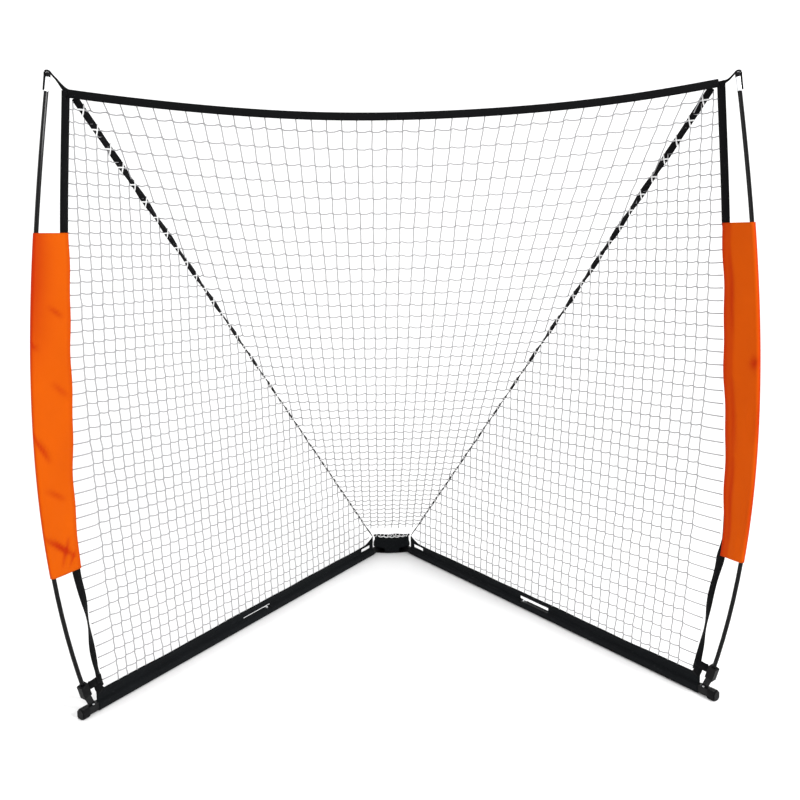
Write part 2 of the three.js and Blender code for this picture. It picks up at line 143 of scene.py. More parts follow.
# %% A finish and its nodes
class Finish:
    """One material: its tree, its shader, and the nodes that feed it."""

    def __init__(self, name, **sockets):
        self.material = bpy.data.materials.new(name)
        self.material.use_nodes = True
        self.tree = self.material.node_tree
        self.shader = self.tree.nodes["Principled BSDF"]
        for socket, value in sockets.items():
            self.feed(socket.replace("_", " "), value)

    def node(self, kind, settings=None, sockets=None, output=0):
        """Adds a node: its settings first, then the values or links of its sockets."""
        made = self.tree.nodes.new(kind)
        for name, value in (settings or {}).items():
            setattr(made, name, value)
        for name, value in (sockets or {}).items():
            self.fill(made.inputs[name], value)
        return Value(self, made.outputs[output])

    def fill(self, socket, value):
        if isinstance(value, Value):
            self.tree.links.new(value.socket, socket)
        elif isinstance(value, tuple) and len(value) == 3 and socket.type == "RGBA":
            socket.default_value = (*value, 1)
        else:
            socket.default_value = value

    def feed(self, socket, value):
        self.fill(self.shader.inputs[socket], value)
        return self

    def mix(self, factor, low, high):
        """A colour between two colours."""
        mixing = {"data_type": "RGBA", "clamp_factor": True}
        return self.node("ShaderNodeMix", mixing, {0: factor, 6: low, 7: high}, 2)

    def parts(self, vector):
        """The X, Y and Z of a vector, as values."""
        return [self.node("ShaderNodeSeparateXYZ", None, {0: vector}, i) for i in range(3)]

    def cloth(self):
        """The way across the cloth and the way along it, in metres."""
        return self.parts(self.node("ShaderNodeUVMap", {"uv_map": "cloth"}))[:2]

    def place(self):
        """A point's own place on the object, in metres."""
        return self.node("ShaderNodeTexCoord", None, None, 3)

    def noise(self, vector, scale, detail=2.0, rough=0.5):
        sockets = {"Vector": vector, "Scale": scale, "Detail": detail, "Roughness": rough}
        return self.node("ShaderNodeTexNoise", None, sockets)

    def stretch(self, vector, by):
        return self.node("ShaderNodeVectorMath", {"operation": "MULTIPLY"}, {0: vector, 1: by})

    def bump(self, height, distance, strength=1.0):
        sockets = {"Height": height, "Distance": distance, "Strength": strength}
        return self.feed("Normal", self.node("ShaderNodeBump", None, sockets))


print("finish helper ready")

# %% [markdown]
# ## The webbing
#
# Every edge of the net is a flat black polyester tape, woven in a fine herringbone. On a flat tape the weave
# is best drawn in the tape's own coordinates, across and along, because they follow each bend. Two waves give
# the ribs of the weave, and a slow noise makes some stretches a little greyer, as dust and rubbing do.


# %% Webbing
def webbing_finish():
    finish = Finish("black_webbing", Specular_IOR_Level=0.04, Sheen_Weight=0.02, Sheen_Roughness=0.5)
    across, along = finish.cloth()
    slant = (across * 2.0).through("ABSOLUTE") + along
    weave = slant.wave(0.0022) * 0.65 + across.wave(0.0011) * 0.35
    patch = finish.noise(finish.place(), 14.0, 3.0)
    tone = weave * 0.6 + patch * 0.5
    finish.feed("Base Color", finish.mix(tone, (0.0008, 0.0008, 0.001), (0.0046, 0.0048, 0.0054)))
    finish.feed("Roughness", 0.5 + patch * 0.3)
    return finish.bump(weave, 0.0004, 0.6).material


BLACK_WEBBING = webbing_finish()
print("made", BLACK_WEBBING.name)

# %% [markdown]
# ## Cover cloth and sleeve cloth
#
# The legs and the hub wear a coarse plain-woven polyester, almost black. The sleeves are a finer cloth in
# safety orange. Both are plain weaves: threads go over and under each other in two directions, so
# the product of two waves, one across and one along, gives the small raised squares. Shade is painted into
# the orange cloth as a tone on its corners. It makes the cloth darker and redder at its folds, in its
# creases, on the upper outer part of the left sleeve, and over the whole right sleeve, most where the black
# tape lies behind.


# %% The two cloths
def plain_weave(finish, thread):
    across, along = finish.cloth()
    over = across.wave(2 * thread)
    under = along.wave(2 * thread)
    return over * under + (1 - over) * (1 - under)


def cover_finish():
    finish = Finish("cover_cloth", Specular_IOR_Level=0.05, Sheen_Weight=0.03, Sheen_Roughness=0.45)
    weave = plain_weave(finish, 0.0009)
    patch = finish.noise(finish.place(), 9.0, 4.0)
    tone = weave * 0.45 + patch * 0.6
    finish.feed("Base Color", finish.mix(tone, (0.0016, 0.002, 0.0023), (0.008, 0.0094, 0.0108)))
    finish.feed("Roughness", 0.62 + patch * 0.25)
    return finish.bump(weave, 0.0004, 0.7).material


def sleeve_finish():
    finish = Finish("sleeve_cloth", Specular_IOR_Level=0.04)
    weave = plain_weave(finish, 0.0005)
    patch = finish.noise(finish.place(), 7.0, 3.0)
    # The tone attribute holds painted shade. It mixes the lit orange towards a darker, redder shaded orange.
    tone = finish.node("ShaderNodeAttribute", {"attribute_name": "tone"}, None, 2)
    fresh = finish.mix(patch, (0.51, 0.072, 0.0), (0.58, 0.092, 0.0))
    # This darker, redder orange is the painted shade colour, not wear.
    painted_shade = finish.mix(patch, (0.36, 0.018, 0.0), (0.42, 0.026, 0.0))
    finish.feed("Base Color", finish.mix(tone + weave * 0.08, fresh, painted_shade))
    finish.feed("Roughness", 0.44 + patch * 0.16)
    return finish.bump(weave, 0.00025, 0.45).material


COVER_CLOTH = cover_finish()
SLEEVE_CLOTH = sleeve_finish()
print("made", COVER_CLOTH.name, "and", SLEEVE_CLOTH.name)

# %% [markdown]
# ## Twine
#
# The net is knotted from a thin twisted polyester twine, white and matt, the same twine as the lacing. The
# net's twine is given a mid grey as painted shade, standing for the shaded sides of thin twine seen against
# white;
# the lacing keeps the whiter colour. The twist is a slanting wave round the strand, so a little of the way
# round is added to the way along before the wave is taken.


# %% Twine
def twine_finish(name, low, high):
    finish = Finish(name, IOR=1.45, Sheen_Weight=0.2, Sheen_Roughness=0.5)
    around, along = finish.cloth()
    twist = (along + around * 0.6).wave(0.0034)
    patch = finish.noise(finish.place(), 11.0, 2.0)
    finish.feed("Base Color", finish.mix(twist * 0.55 + patch * 0.45, low, high))
    finish.feed("Roughness", 0.7 + patch * 0.2)
    return finish.bump(twist, 0.0004, 0.5).material


# The net's darker grey is painted shade. The lacing shows the twine's own whiter colour.
NET_TWINE = twine_finish("net_twine", (0.23, 0.228, 0.236), (0.39, 0.388, 0.398))
LACING_TWINE = twine_finish("lacing_twine", (0.62, 0.62, 0.62), (0.78, 0.78, 0.78))
print("made", NET_TWINE.name, "and", LACING_TWINE.name)

# %% [markdown]
# ## Hard finishes
#
# The frame's own parts need metal, plastic and rod finishes. They have no cloth coordinates, so their detail
# comes from each point's place: a fine orange peel on coated steel, a drawn grain along aluminium, crystals
# and dull spots on zinc, a moulded grain on plastic, and a clear coat over faint streaks on the fibreglass.


# %% Metal, plastic and fibreglass
def coated_finish():
    finish = Finish("coated_steel", Specular_IOR_Level=0.1, Coat_Roughness=0.2)
    place = finish.place()
    peel = finish.noise(place, 900.0, 2.0)
    patch = finish.noise(place, 30.0, 4.0)
    finish.feed("Base Color", finish.mix(patch, (0.0025, 0.0027, 0.003), (0.0065, 0.0068, 0.0072)))
    finish.feed("Roughness", 0.36 + patch * 0.25)
    finish.feed("Coat Weight", 0.1 + patch * 0.08)
    return finish.bump(peel, 0.0002, 0.35).material


def zinc_finish():
    finish = Finish("zinc_plate", IOR=2.0)
    place = finish.place()
    crystal = finish.noise(place, 260.0, 3.0)
    dull = finish.noise(place, 45.0, 4.0)
    finish.feed("Base Color", finish.mix(crystal, (0.52, 0.53, 0.54), (0.74, 0.75, 0.76)))
    finish.feed("Metallic", 1 - dull * 0.12)
    finish.feed("Roughness", 0.26 + dull * 0.3)
    return finish.bump(crystal, 0.0001, 0.25).material


def aluminium_finish():
    finish = Finish("drawn_aluminium", IOR=1.8)
    place = finish.place()
    grain = finish.noise(finish.stretch(place, (900.0, 900.0, 14.0)), 1.0, 2.0)
    dull = finish.noise(place, 60.0, 3.0)
    finish.feed("Base Color", finish.mix(grain, (0.80, 0.81, 0.82), (0.93, 0.94, 0.95)))
    finish.feed("Metallic", 1 - dull * 0.25)
    finish.feed("Roughness", 0.28 + grain * 0.12 + dull * 0.08)
    return finish.bump(grain, 0.0001, 0.3).material


def plastic_finish():
    finish = Finish("moulded_plastic", Specular_IOR_Level=0.08)
    place = finish.place()
    grain = finish.noise(place, 700.0, 3.0, 0.6)
    scuff = finish.noise(place, 55.0, 5.0, 0.6)
    finish.feed("Base Color", finish.mix(scuff, (0.002, 0.002, 0.0023), (0.006, 0.006, 0.0066)))
    finish.feed("Roughness", 0.38 + scuff * 0.3)
    return finish.bump(grain, 0.00025, 0.5).material


def rod_finish():
    finish = Finish("fibreglass_rod", Specular_IOR_Level=0.06, Coat_Roughness=0.1)
    place = finish.place()
    streak = finish.noise(finish.stretch(place, (700.0, 700.0, 9.0)), 1.0, 3.0)
    patch = finish.noise(place, 20.0, 3.0)
    tone = streak * 0.7 + patch * 0.3
    finish.feed("Base Color", finish.mix(tone, (0.001, 0.001, 0.0012), (0.004, 0.004, 0.0046)))
    finish.feed("Roughness", 0.22 + streak * 0.16)
    finish.feed("Coat Weight", 0.08 + patch * 0.08)
    return finish.bump(streak, 0.00015, 0.3).material


COATED_STEEL = coated_finish()
ZINC = zinc_finish()
ALUMINIUM = aluminium_finish()
PLASTIC = plastic_finish()
FIBREGLASS = rod_finish()
print("made", [m.name for m in (COATED_STEEL, ZINC, ALUMINIUM, PLASTIC, FIBREGLASS)])

# %% [markdown]
# ## Where things are
#
# Each leg, with all that stands on it, lies in one upright plane that turns about its hub pin. So a place on
# a leg is said in three numbers: how far out from the pin, how far to the inner side of the plane, and how
# high. They are in millimetres, as a maker would measure them, and one function turns them into the frame.

# %% Places on a leg and at the hub
SPREAD = math.radians(35.785)
PIN_HALF = 50.0
OUT_X, OUT_Y = math.sin(SPREAD), math.cos(SPREAD)
SIDES = {"left": -1, "right": 1}
ASKEW = 13.0


def askew(x, z):
    """How far the cloth stands above its even place: it hangs a little lower on the left, most at the top."""
    return ASKEW * (x / 900) * np.clip(z / 1777, 0, 1) ** 2.5


def on_hub(x, y, z, even=False):
    """Millimetres from the middle between the pins, as points in the frame."""
    x, y, z = np.broadcast_arrays(*(np.asarray(v, float) for v in (x, y, z)))
    lift = 0 if even else askew(x, z)
    return np.stack([x * MM, y * MM + PIN_Y, (z + lift) * MM], -1)


def on_leg(side, out, inward, z, even=False):
    """Millimetres out along a leg, to its inner side and up, as points in the frame."""
    out, inward = np.asarray(out, float), np.asarray(inward, float)
    x = SIDES[side] * (PIN_HALF + out * OUT_X - inward * OUT_Y)
    return on_hub(x, -out * OUT_Y - inward * OUT_X, z, even)


def leg_way(side, out, inward, z):
    """A direction given along a leg, to its inner side and up."""
    return (on_leg(side, out, inward, z, True) - on_leg(side, 0, 0, 0, True)) / MM


print("left leg's end is at", on_leg("left", 1488, 0, 14.6).round(3))

# %% Lines that the cloth follows
ROD_FOOT, ROD_HEAD, ROD_RISE, ROD_LEAN = (1478.0, 72.0), (1510.0, 1800.0), 97.0, 0.25
BAND_HEIGHTS = np.array([70.0, 216, 345, 445, 640, 1000, 1397, 1790])
BAND_PLACES = np.array([1429.0, 1451, 1471, 1490, 1499, 1492, 1481, 1457])
RIB_FOOT, RIB_HEAD, RIB_SAG = (62.0, 86.0), (1423.0, 1760.0), 3.0


def rod_out(z):
    """How far out the bowed rod is at a height."""
    u = (np.asarray(z, float) - ROD_FOOT[1]) / (ROD_HEAD[1] - ROD_FOOT[1])
    swell = 4 * u * (1 - u) * (1 + ROD_LEAN * (1 - 2 * u))
    return ROD_FOOT[0] + (ROD_HEAD[0] - ROD_FOOT[0]) * u + ROD_RISE * swell


def smooth_through(xs, ys, x):
    """A smooth curve through points, with each point's slope taken from its neighbours."""
    slopes = np.gradient(ys, xs)
    i = np.clip(np.searchsorted(xs, x) - 1, 0, len(xs) - 2)
    step = xs[i + 1] - xs[i]
    t = (x - xs[i]) / step
    rise = (2 * t**3 - 3 * t**2 + 1) * ys[i] + (3 * t**2 - 2 * t**3) * ys[i + 1]
    return rise + step * ((t**3 - 2 * t**2 + t) * slopes[i] + (t**3 - t**2) * slopes[i + 1])


def band_out(side, z):
    """How far out the side tape is. The right one is pulled a little further out by its sleeve."""
    z = np.asarray(z, float)
    pull = np.interp(z, [70, 460, 620, 1397, 1790], [0, 9, 9, 4, 2]) if side == "right" else 0
    return smooth_through(BAND_HEIGHTS, BAND_PLACES, z) + pull


def rib_place(u):
    """How far out and how high the rib is, from its foot at 0 to its head at 1."""
    u = np.asarray(u, float)
    out = RIB_FOOT[0] + (RIB_HEAD[0] - RIB_FOOT[0]) * u
    return out, RIB_FOOT[1] + (RIB_HEAD[1] - RIB_FOOT[1]) * u - RIB_SAG * 4 * u * (1 - u)


print("rod at mid height:", rod_out(936).round(1), "band:", band_out("left", 936).round(1))

# %% [markdown]
# ## One way to build every soft piece
#
# Tapes, twines and covers are all skins: a ring or a row of corners is carried along a route, and neighbours
# are joined by four-sided faces. Each face also notes where it lies on the flat cloth, in metres, and the
# weaves are drawn from that. One small class collects the faces and makes the piece at the end.


# %% Collecting a piece's faces
def rework(mesh, change):
    """Opens a mesh for editing, changes it, and closes it again."""
    shape = bmesh.new()
    shape.from_mesh(mesh)
    change(shape)
    shape.to_mesh(mesh)
    shape.free()


def face_outwards(shape):
    bmesh.ops.recalc_face_normals(shape, faces=shape.faces)


class Form:
    """The corners and faces of one soft piece, and where each face lies on the flat cloth."""

    def __init__(self):
        self.corners, self.faces, self.flat, self.count = [], [], [], 0

    def add(self, points):
        points = np.asarray(points, float)
        start = self.count
        self.corners.append(points)
        self.count += len(points)
        return start

    def skin(self, rings, across, along, closed=True):
        """Joins rings of corners. across is each corner's place round the ring, along each ring's own."""
        rings = np.asarray(rings, float)
        rows, size = rings.shape[:2]
        start = self.add(rings.reshape(-1, 3))
        spans = size if closed else size - 1
        for i in range(rows - 1):
            a, b = start + i * size, start + (i + 1) * size
            for j in range(spans):
                k = (j + 1) % size
                self.faces.append((a + j, a + k, b + k, b + j))
                near, far = (across[j], along[i]), (across[j + 1], along[i])
                self.flat.append((near, far, (far[0], along[i + 1]), (near[0], along[i + 1])))
        return start

    def lid(self, start, size, across, along, flip=False):
        order = range(size - 1, -1, -1) if flip else range(size)
        self.faces.append(tuple(start + j for j in order))
        self.flat.append(tuple((across[j], along) for j in order))

    def make(self, name, finish, tidy=True):
        mesh = bpy.data.meshes.new(name)
        mesh.from_pydata(np.concatenate(self.corners).tolist(), [], self.faces)
        layer = mesh.uv_layers.new(name="cloth")
        layer.data.foreach_set("uv", np.array([c for face in self.flat for c in face], np.float32).ravel())
        if tidy:
            rework(mesh, face_outwards)
        mesh.shade_smooth()
        mesh.materials.append(finish)
        piece = bpy.data.objects.new(name, mesh)
        bpy.context.scene.collection.objects.link(piece)
        print(name, len(mesh.vertices), "corners", len(mesh.polygons), "faces")
        return piece


def unit(vectors):
    vectors = np.asarray(vectors, float)
    return vectors / np.linalg.norm(vectors, axis=-1, keepdims=True)


def run_of(points):
    """The distance along a route to each of its points."""
    steps = np.linalg.norm(np.diff(points, axis=0), axis=1)
    return np.concatenate([[0], np.cumsum(steps)])


# %% Rope and tape
def rope(form, points, radius, sides=5, axis=None, looped=False):
    """A round strand along points. axis is a direction that the strand never runs along."""
    points = np.asarray(points, float)
    if looped:
        forward = unit(np.roll(points, -1, 0) - np.roll(points, 1, 0))
        points, forward = np.vstack([points, points[:1]]), np.vstack([forward, forward[:1]])
    else:
        forward = unit(np.gradient(points, axis=0))
    if axis is None:
        axis = np.eye(3)[np.argmin(np.abs(forward).sum(0))]
    one = unit(np.cross(forward, axis))
    two = np.cross(forward, one)
    turn = np.arange(sides) / sides * 2 * math.pi
    radius = np.broadcast_to(radius, len(points))[:, None, None]
    ring = np.cos(turn)[None, :, None] * one[:, None] + np.sin(turn)[None, :, None] * two[:, None]
    rings = points[:, None] + radius * ring
    across = np.arange(sides + 1) / sides * 2 * math.pi * float(radius[0, 0, 0])
    along = run_of(points)
    start = form.skin(rings, across, along)
    if not looped:
        form.lid(start, sides, across, along[0], flip=True)
        form.lid(start + sides * (len(points) - 1), sides, across, along[-1])


def tape(form, points, wide, width, thick=0.0022, edge=0.0009):
    """A flat woven tape. wide is the direction across it at each point."""
    points = np.asarray(points, float)
    forward = unit(np.gradient(points, axis=0))
    wide = np.broadcast_to(wide, points.shape)
    wide = unit(wide - (wide * forward).sum(1, keepdims=True) * forward)
    face = np.cross(forward, wide)
    half = np.broadcast_to(np.asarray(width, float) / 2, len(points))
    rings, shape = [], []
    for share, inset, lift in ((-1, 0, 0), (-1, edge, 1), (0, 0, 1.2), (1, -edge, 1), (1, 0, 0),
                               (1, -edge, -1), (0, 0, -1.2), (-1, edge, -1)):
        rings.append(points + wide * (share * half + inset)[:, None] + face * (lift * thick / 2))
        shape.append(share * half[0] + inset)
    along = run_of(points)
    across = np.array(shape + shape[:1])
    start = form.skin(np.stack(rings, 1), across, along)
    form.lid(start, 8, across, along[0], flip=True)
    form.lid(start + 8 * (len(points) - 1), 8, across, along[-1])


def place_piece(piece, body, slot, *stands_for):
    """Rides on its body and stands for its plain solids. The slot argument is not used."""
    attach(piece, body)
    if stands_for:
        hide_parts(*stands_for)


print("rope and tape ready")

# %% [markdown]
# ## The nets
#
# A knotted net is two families of twine that cross, with a small hard knot at each crossing. The knot lies
# slanting, so each twine leaves it a little higher than it came in: that small step is what makes a net look
# like a net and not like a grid. Between knots the twine hangs very slightly. Each twine here is one strand
# through all its knots, and the knots are small slanting lumps on top.

# %% Twines and knots
TWINE_R = 1.85
KNOT = np.array([3.4, 2.2, 2.2])
dice = random.Random(7)


def thread(form, stops, step, hang):
    """A strand through stops in the frame. It steps at each inner stop and hangs between them."""
    stops = np.asarray(stops, float)
    points = [stops[0]]
    for i in range(len(stops) - 1):
        a, b = stops[i], stops[i + 1]
        low = (a + b) / 2 - np.array([0, 0, hang * MM])
        first = a + (b - a) * 0.12 + step if i else a
        last = b - (b - a) * 0.12 - step if i < len(stops) - 2 else b
        points += [low, last] if i == 0 else [first, low, last]
    rope(form, points, TWINE_R * MM, sides=4)


def knot(form, centre, long_way, flat_way):
    """A small lump with eight faces, long in one direction."""
    one, two = unit(long_way), unit(flat_way)
    ways = np.stack([one, two, np.cross(one, two)]) * (KNOT * MM)[:, None]
    start = form.add(np.concatenate([centre + ways, centre - ways]))
    for a, b, c in ((0, 1, 2), (1, 3, 2), (3, 4, 2), (4, 0, 2), (1, 0, 5), (3, 1, 5), (4, 3, 5), (0, 4, 5)):
        form.faces.append((start + a, start + b, start + c))
        form.flat.append(((0, 0), (0.001, 0), (0, 0.001)))


print("a knot is", KNOT * 2, "mm")

# %% [markdown]
# The two side panels stand upright in the plane of their legs. Their meshes are about 35 mm square, with
# level rows. The rows end on the tape at the mouth and on the sloping rib behind, and the front columns lean
# back a little towards the foot, where the tape is pulled in.

# %% Side panels
SIDE_COLUMN = 35.4
SIDE_LOW = 57.0
TAPE_HALF = 12.5


def rib_out(z):
    """How far out the rib is at a height, or the panel's own corner below it."""
    heights = rib_place(np.linspace(0, 1, 60))
    return np.interp(z, heights[1], heights[0])


def side_rows(side):
    """The heights of the rows, closest at the top."""
    heights, z, grow = [], 1738.0, {"left": 2.6, "right": 6.5}[side]
    while z > SIDE_LOW + 12:
        heights.append(z)
        z -= 34.0 + grow * (1 - z / 1738)
    return heights


def column_out(column, z):
    lean = 75 * np.clip((1000 - z) / 1000, 0, 1) ** 1.2
    return column - lean * column / 1400


def side_net(side):
    form = Form()
    rows = side_rows(side)
    columns = [1437 - SIDE_COLUMN * i for i in range(40)]
    shake = {(i, k): (dice.uniform(-1.2, 1.2), dice.uniform(-2, 2), dice.uniform(-1.2, 1.2))
             for i in range(len(rows)) for k in range(len(columns))}
    place = {}
    for i, z in enumerate(rows):
        for k, column in enumerate(columns):
            out = column_out(column, z)
            if max(rib_out(z) + 5, 94) < out < band_out(side, z) - TAPE_HALF - 5:
                a, b, c = shake[i, k]
                place[i, k] = on_leg(side, out + a, b, z + c)
    step = leg_way(side, -0.8, 0, 1.8) * MM
    for i, z in enumerate(rows):
        here = [place[i, k] for k in range(len(columns)) if (i, k) in place]
        front = on_leg(side, band_out(side, z) - TAPE_HALF + 2, 0, z)
        back = on_leg(side, max(rib_out(z), 84 if z < 90 else 0), 0, z)
        thread(form, [front, *here, back], step, 1.4)
    for k, column in enumerate(columns):
        here = [place[i, k] for i in range(len(rows)) if (i, k) in place]
        if not here:
            continue
        first = next(i for i in range(len(rows)) if (i, k) in place)
        z = rows[first]
        for _ in range(12):
            z = np.interp(column_out(column, z), *rib_place(np.linspace(0, 1, 60)))
        head = on_leg(side, column_out(column, z), 0, z)
        foot = on_leg(side, column_out(column, SIDE_LOW), 0, SIDE_LOW)
        thread(form, [head, *here, foot] if z > rows[first] + 4 else [*here, foot], -step, 0.0)
    for centre in place.values():
        knot(form, centre, leg_way(side, -0.6, 0, 1), leg_way(side, 0, 1, 0))
    piece = form.make(f"side_panel_{side}", NET_TWINE)
    place_piece(piece, f"{side}_leg", "net_twine", f"{side}_side_net")
    print("rows", len(rows), "knots", len(place))


for side in SIDES:
    side_net(side)

# %% [markdown]
# The back panel slopes from the top tape down to the hub, and is hung so slackly that its middle sags back
# and down. Its rows get closer together towards the hub and its columns fan out slightly. When a leg folds
# in, the real panel crumples between the hub and that leg. It is made in two halves and in shallow strips.

# %% Back panel
ROWS_BACK = 45
STRIP_ROWS = 3
SAG_BACK, SAG_DOWN = 80.0, 62.0
TOP_HALF, TOP_Z, CORNER_OUT = 884.0, 1777.0, 1457.0


def up_rib(share):
    """The place on the rib where the panel's share of it ends: the panel stops just short of the head."""
    return 0.002 + 0.983 * share


def row_share(i):
    """How far up the rib a row is: wide steps at the top, close ones at the hub."""
    return 1.003 - (0.0314 * i - 0.0193 * i * i / 90)


def rib_half(share):
    """Half the panel's width at a row."""
    return PIN_HALF + OUT_X * rib_place(up_rib(share))[0] - 4


def back_place(x, share):
    out, z = rib_place(up_rib(share))
    half = rib_half(share)
    depth = (1 - (x / half) ** 2) * share**2
    return on_hub(x, -OUT_Y * out + SAG_BACK * depth, z - SAG_DOWN * depth)


def column_x(k, share):
    z = rib_place(up_rib(share))[1] - 62 * share**2
    return -29 + k * (28 + 0.0112 * z if k > 0 else 29 + 0.0085 * z)


def top_line(x):
    """How far back and how high the middle of the top tape is."""
    slack = 1 - (x / TOP_HALF) ** 2
    return -OUT_Y * CORNER_OUT + SAG_BACK * slack, TOP_Z - SAG_DOWN * slack


def top_edge(x):
    """Where a column meets the top tape, near its lower edge."""
    y, z = top_line(x)
    return on_hub(x, y, z - 10)


def back_strip(side, strip):
    sign, form = SIDES[side], Form()
    rows = range(strip * STRIP_ROWS, strip * STRIP_ROWS + STRIP_ROWS)
    numbers = range(1, 26) if sign > 0 else range(0, -26, -1)
    share = {i: row_share(i) for i in range(rows[0], rows[-1] + 2)}
    inside = {(i, k): sign * column_x(k, share[i]) < rib_half(share[i]) - 7 for i in share for k in numbers}
    place = {}
    for i in share:
        own = random.Random(i * 7 + sign)
        for k in numbers:
            x = column_x(k, share[i])
            shift = own.uniform(-1.3, 1.3), own.uniform(-1.5, 1.5)
            if inside[i, k]:
                place[i, k] = back_place(x + shift[0], share[i]) + np.array([0, 0, shift[1] * MM])
    for i in rows:
        stops = [back_place(0, share[i]), *(place[i, k] for k in numbers if inside[i, k])]
        stops.append(back_place(sign * rib_half(share[i]), share[i]))
        thread(form, stops, np.array([sign * 0.9, 0, 2.3]) * MM, 2.0)
    for k in numbers:
        stops = [top_edge(column_x(k, share[0]))] if strip == 0 and inside[0, k] else []
        for i in (*rows, rows[-1] + 1):
            if inside[i, k]:
                stops.append(place[i, k])
            elif stops:
                gap = [rib_half(share[j]) - sign * column_x(k, share[j]) for j in (i - 1, i)]
                if gap[0] > 0 > gap[1]:
                    t = gap[0] / (gap[0] - gap[1])
                    at = share[i - 1] + (share[i] - share[i - 1]) * t
                    stops.append(back_place(sign * rib_half(at), at))
                break
        if len(stops) > 1:
            thread(form, stops, np.array([0.7, 0, -1.6]) * MM, 0.0)
    for (i, k), centre in place.items():
        if i in rows:
            knot(form, centre, (0.55, 0, 1), (0, 1, 0.2))
    piece = form.make(f"back_panel_{side}_{strip + 1:02d}", NET_TWINE)
    reach = sign * rib_half(row_share(rows[-1] + 1)) * 0.97 * MM
    middle = back_place(0, share[rows[0]])
    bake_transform(piece)
    if strip == 0:
        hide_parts("back_net")


for side in SIDES:
    for strip in range(ROWS_BACK // STRIP_ROWS):
        back_strip(side, strip)

# %% [markdown]
# ## Edge tapes
#
# The side tape runs from the foot of the rod to the top corner. Above and inside the sleeve it lies flat in
# the plane of the leg; below the sleeve nothing holds its edges, so it twists and ripples. The rib is
# narrower: it leaves the top corner flat and turns more and more edge-on towards the hub, as a tape does when
# twine pulls on both sides of it.

# %% Side tapes and ribs
TAPE_WIDTH = 25.5 * MM
RIB_WIDTH = 23.0 * MM
SLEEVE_LOW, SLEEVE_HIGH = 443.0, 1396.0


def side_tape(side):
    form = Form()
    z = np.linspace(66, 1785, 150)
    loose = np.clip((SLEEVE_LOW - 10 - z) / 120, 0, 1) * np.clip((z - 66) / 60, 0, 1)
    twist = np.radians(loose * (26 + 22 * np.sin(z / 31 + SIDES[side])))
    sway = loose * 3.5 * np.sin(z / 47 + 1)
    held = np.clip((z - SLEEVE_LOW) / 50, 0, 1) * np.clip((SLEEVE_HIGH - z) / 50, 0, 1)
    wide = leg_way(side, np.cos(twist), np.sin(twist), np.zeros_like(z))
    width = TAPE_WIDTH * (1 - 0.22 * loose - 0.42 * held)
    tape(form, on_leg(side, band_out(side, z) + 3 * held, sway, z), wide, width, edge=0.0008)
    piece = form.make(f"side_tape_{side}", BLACK_WEBBING)
    place_piece(piece, f"{side}_leg", "webbing", f"{side}_side_band")


def rib_turn(u):
    """The rib's twist out of the plane of the leg, in radians."""
    u = np.asarray(u, float)
    slow = 56 * np.clip((0.97 - u) / 0.6, 0, 1)
    return np.radians(slow + 14 * np.sin(u * 95) * np.clip((0.98 - u) / 0.1, 0, 1))


def rib_width(u):
    return RIB_WIDTH * (0.72 + 0.28 * np.clip(u * 1.1, 0, 1))


def rib_frame(side, u):
    """Points on the rib, the direction across it, and the direction along it."""
    out, z = rib_place(u)
    long, high = RIB_HEAD[0] - RIB_FOOT[0], RIB_HEAD[1] - RIB_FOOT[1]
    along, square = unit(leg_way(side, long, 0, high)), unit(leg_way(side, high, 0, -long))
    turn = rib_turn(u)[..., None]
    wide = np.cos(turn) * square + np.sin(turn) * leg_way(side, 0, 1, 0)
    return on_leg(side, out, 0, z), wide, along


def rib(side):
    form = Form()
    u = np.linspace(0, 1.006, 240)
    points, wide, _ = rib_frame(side, u)
    tape(form, points, wide, rib_width(u), thick=0.0024)
    piece = form.make(f"rib_tape_{side}", BLACK_WEBBING)
    place_piece(piece, f"{side}_leg", "webbing", f"{side}_rib")


for side in SIDES:
    side_tape(side)
    rib(side)

# %% [markdown]
# ## Lacing
#
# White twine laces both panels to the ribs. At each row it goes twice round the tape, once slanting up and
# once slanting down, so that it makes a cross on each face. A slanting loop is an ellipse round the tape, so
# each cross is two such loops.

# %% Lacing on the ribs
LACE_R = 2.2 * MM


def rib_lacing(side):
    form = Form()
    turn = np.linspace(0, 2 * math.pi, 16, endpoint=False)
    for i in range(ROWS_BACK - 1):
        u = up_rib(row_share(i))
        centre, wide, along = rib_frame(side, u)
        face = np.cross(along, wide)
        reach = rib_width(u) / 2 + LACE_R * 0.8
        for slant in (1, -1):
            loop = np.cos(turn)[:, None] * (wide * reach + along * slant * (0.005 + 0.006 * u))
            loop = loop + np.sin(turn)[:, None] * face * 0.0032
            rope(form, centre + loop, LACE_R * (0.62 + 0.38 * u), axis=along, looped=True)
    piece = form.make(f"rib_lacing_{side}", LACING_TWINE)
    place_piece(piece, f"{side}_leg", "net_twine")


for side in SIDES:
    rib_lacing(side)

# %% [markdown]
# ## The top tape
#
# The top tape joins the two upper corners and sags in a long shallow curve. The real tape has to give when a
# leg folds; here it is made in two halves that meet in the middle.

# %% Top tape
TOP_WIDTH = 24.0 * MM


def top_tape(side):
    form, sign = Form(), SIDES[side]
    x = sign * np.linspace(0, TOP_HALF + 13, 90)
    y, z = top_line(x)
    points = on_hub(x, y + 0.6 * np.sin(x / 90.0), z + 0.8 * np.sin(x / 130.0))
    tape(form, points, (0, 0.15, 1), TOP_WIDTH)
    piece = form.make(f"top_tape_{side}", BLACK_WEBBING)
    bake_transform(piece)
    if side == "left":
        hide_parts("top_band")


for side in SIDES:
    top_tape(side)

# %% [markdown]
# ## Corner and foot straps
#
# A narrow strap pulls the net's corner up to the rod's head. It starts nearly as wide as the tapes that it is
# sewn to, narrows at once, and goes over the tip and down the outside, where it is stitched back. At the foot
# a short loop of the same tape holds the side tape to the rod's socket.

# %% Straps
HEAD_LEAN = math.atan2(float(rod_out(1800) - rod_out(1790)), 10.0)


